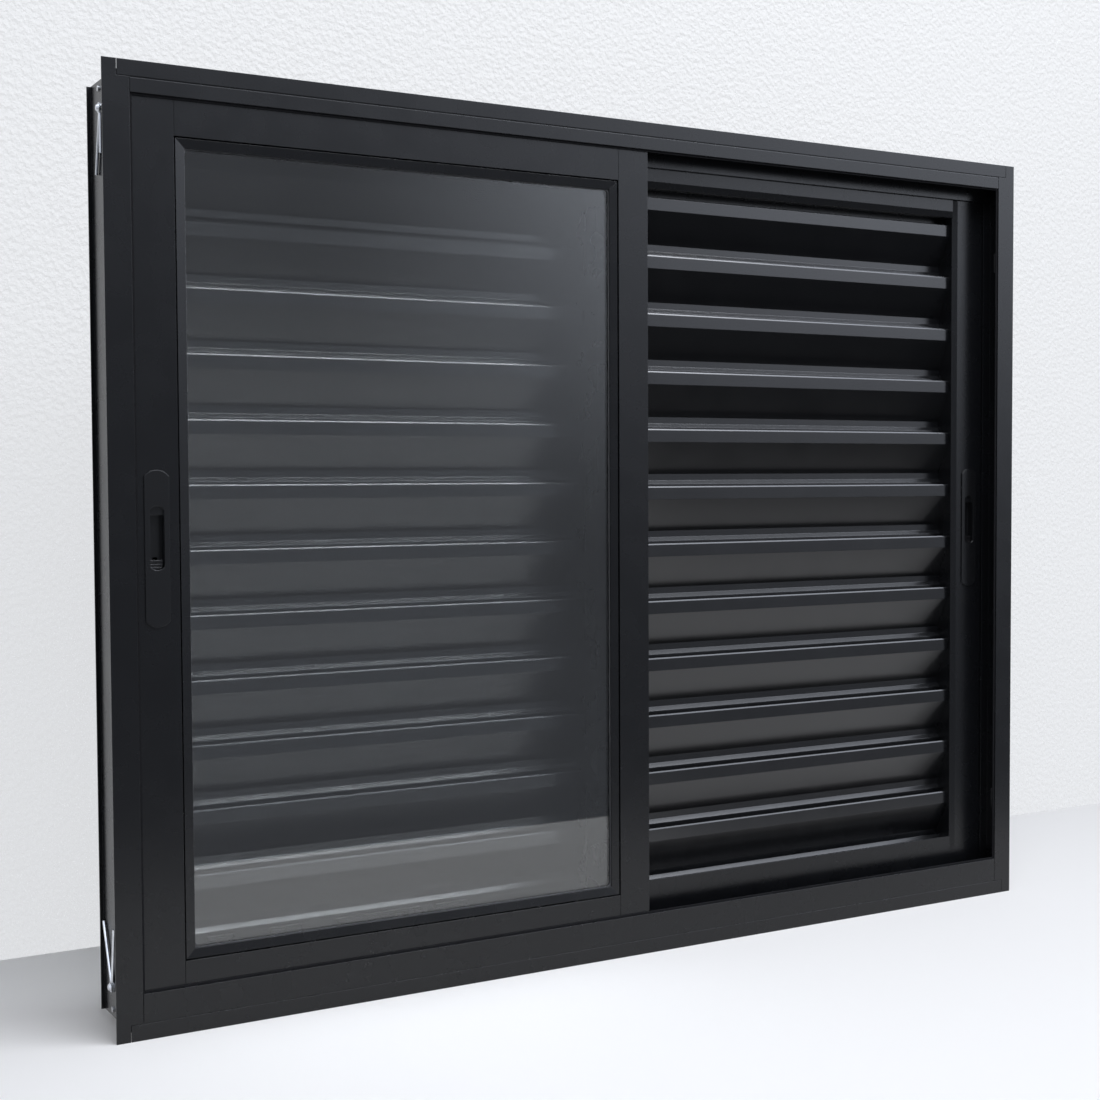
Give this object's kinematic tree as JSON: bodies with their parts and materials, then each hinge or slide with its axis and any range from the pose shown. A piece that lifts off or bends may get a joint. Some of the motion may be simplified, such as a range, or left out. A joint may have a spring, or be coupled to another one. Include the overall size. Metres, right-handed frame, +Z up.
{
  "type": "louvred window",
  "caption": "Black aluminium sliding window with a glazed leaf, a sliding louvred leaf and a fixed louvred leaf in a three-track frame.",
  "frame": {"origin": "bottom centre of the frame's bounding box, at mid depth", "axes": "+X to the right as seen from the room, +Y from the room face towards the outside, +Z up"},
  "size_m": [1.25, 0.096, 1],
  "materials": {
    "satin_black_aluminium": "satin black powder coat",
    "slat_black_aluminium": "satin black powder coat on rolled slats",
    "clear_glass": "clear float glass",
    "seal_rubber": "matt black rubber",
    "brush_pile": "short black pile",
    "black_pull_plastic": "fine matt black moulding",
    "nylon": "plain nylon",
    "fitting_steel": "zinc plated",
    "galvanised_steel": "galvanised wire"
  },
  "bodies": {
    "frame": {"frame_head": "satin_black_aluminium", "frame_sill": "satin_black_aluminium", "frame_jamb_left": "satin_black_aluminium", "frame_jamb_right": "satin_black_aluminium", "frame_corner_screws": "fitting_steel", "frame_brush_seals": "brush_pile", "jamb_buffers": "seal_rubber", "keeper_screws": "fitting_steel", "glass_keeper": "fitting_steel", "louvre_keeper": "fitting_steel", "anchor_rivets": "galvanised_steel", "fixed_lock_stile": "satin_black_aluminium", "fixed_meeting_stile": "satin_black_aluminium", "fixed_top_rail": "satin_black_aluminium", "fixed_bottom_rail": "satin_black_aluminium", "fixed_slats": "slat_black_aluminium", "fixed_sash_screws": "fitting_steel", "fixed_sash_packers": "nylon"},
    "glazed_sash": {"glass_lock_stile": "satin_black_aluminium", "glass_meeting_stile": "satin_black_aluminium", "glass_top_rail": "satin_black_aluminium", "glass_bottom_rail": "satin_black_aluminium", "glass_sash_screws": "fitting_steel", "glass_pane": "clear_glass", "setting_blocks": "seal_rubber", "glass_gasket": "seal_rubber", "bead_left": "satin_black_aluminium", "bead_right": "satin_black_aluminium", "bead_top": "satin_black_aluminium", "bead_bottom": "satin_black_aluminium", "glass_roller_carriers": "nylon", "glass_roller_axles": "fitting_steel", "glass_guides": "nylon", "glass_brushes": "brush_pile", "glass_pull_shell": "black_pull_plastic"},
    "louvred_sash": {"louvre_lock_stile": "satin_black_aluminium", "louvre_meeting_stile": "satin_black_aluminium", "louvre_top_rail": "satin_black_aluminium", "louvre_bottom_rail": "satin_black_aluminium", "louvre_slats": "slat_black_aluminium", "louvre_sash_screws": "fitting_steel", "louvre_roller_carriers": "nylon", "louvre_roller_axles": "fitting_steel", "louvre_guides": "nylon", "louvre_brushes": "brush_pile", "louvre_pull_shell": "black_pull_plastic"},
    "glazed_latch": {"glass_latch_slider": "black_pull_plastic", "glass_latch_hook": "fitting_steel"},
    "louvred_latch": {"louvre_latch_slider": "black_pull_plastic", "louvre_latch_hook": "fitting_steel"},
    "glass_wheel_left": {"glass_wheel_left": "nylon"},
    "glass_wheel_right": {"glass_wheel_right": "nylon"},
    "louvre_wheel_left": {"louvre_wheel_left": "nylon"},
    "louvre_wheel_right": {"louvre_wheel_right": "nylon"},
    "anchor_top_left": {"anchor_top_left": "galvanised_steel"},
    "anchor_top_right": {"anchor_top_right": "galvanised_steel"},
    "anchor_bottom_left": {"anchor_bottom_left": "galvanised_steel"},
    "anchor_bottom_right": {"anchor_bottom_right": "galvanised_steel"}
  },
  "joints": [
    {"name": "glazed_sash_slide", "type": "slide", "parent": "frame", "child": "glazed_sash", "axis": [1, 0, 0], "range_m": [0, 0.579]},
    {"name": "louvred_sash_slide", "type": "slide", "parent": "frame", "child": "louvred_sash", "axis": [1, 0, 0], "range_m": [-0.579, 0]},
    {"name": "glazed_latch_lift", "type": "slide", "parent": "glazed_sash", "child": "glazed_latch", "axis": [0, 0, 1], "range_m": [0, 0.006]},
    {"name": "louvred_latch_lift", "type": "slide", "parent": "louvred_sash", "child": "louvred_latch", "axis": [0, 0, 1], "range_m": [0, 0.006]},
    {"name": "glass_wheel_left_spin", "type": "hinge", "parent": "glazed_sash", "child": "glass_wheel_left", "pos_m": [-0.512, -0.0332, 0.0348], "axis": [0, 1, 0], "continuous": true},
    {"name": "glass_wheel_right_spin", "type": "hinge", "parent": "glazed_sash", "child": "glass_wheel_right", "pos_m": [-0.067, -0.0332, 0.0348], "axis": [0, 1, 0], "continuous": true},
    {"name": "louvre_wheel_left_spin", "type": "hinge", "parent": "louvred_sash", "child": "louvre_wheel_left", "pos_m": [0.067, -0.0026, 0.0348], "axis": [0, 1, 0], "continuous": true},
    {"name": "louvre_wheel_right_spin", "type": "hinge", "parent": "louvred_sash", "child": "louvre_wheel_right", "pos_m": [0.512, -0.0026, 0.0348], "axis": [0, 1, 0], "continuous": true},
    {"name": "anchor_top_left_pivot", "type": "hinge", "parent": "frame", "child": "anchor_top_left", "pos_m": [-0.613, 0.004, 0.96], "axis": [1, 0, 0], "range_deg": [-20, 18]},
    {"name": "anchor_top_right_pivot", "type": "hinge", "parent": "frame", "child": "anchor_top_right", "pos_m": [0.613, 0.004, 0.96], "axis": [1, 0, 0], "range_deg": [-20, 18]},
    {"name": "anchor_bottom_left_pivot", "type": "hinge", "parent": "frame", "child": "anchor_bottom_left", "pos_m": [-0.613, 0.011, 0.043], "axis": [1, 0, 0], "range_deg": [-3, 20]},
    {"name": "anchor_bottom_right_pivot", "type": "hinge", "parent": "frame", "child": "anchor_bottom_right", "pos_m": [0.613, 0.011, 0.043], "axis": [1, 0, 0], "range_deg": [-3, 20]}
  ],
  "couplings": [
    {"joint": "glass_wheel_left_spin", "follows": "glazed_sash_slide", "rad_per_m": 142.86},
    {"joint": "glass_wheel_right_spin", "follows": "glazed_sash_slide", "rad_per_m": 142.86},
    {"joint": "louvre_wheel_left_spin", "follows": "louvred_sash_slide", "rad_per_m": 142.86},
    {"joint": "louvre_wheel_right_spin", "follows": "louvred_sash_slide", "rad_per_m": 142.86}
  ]
}
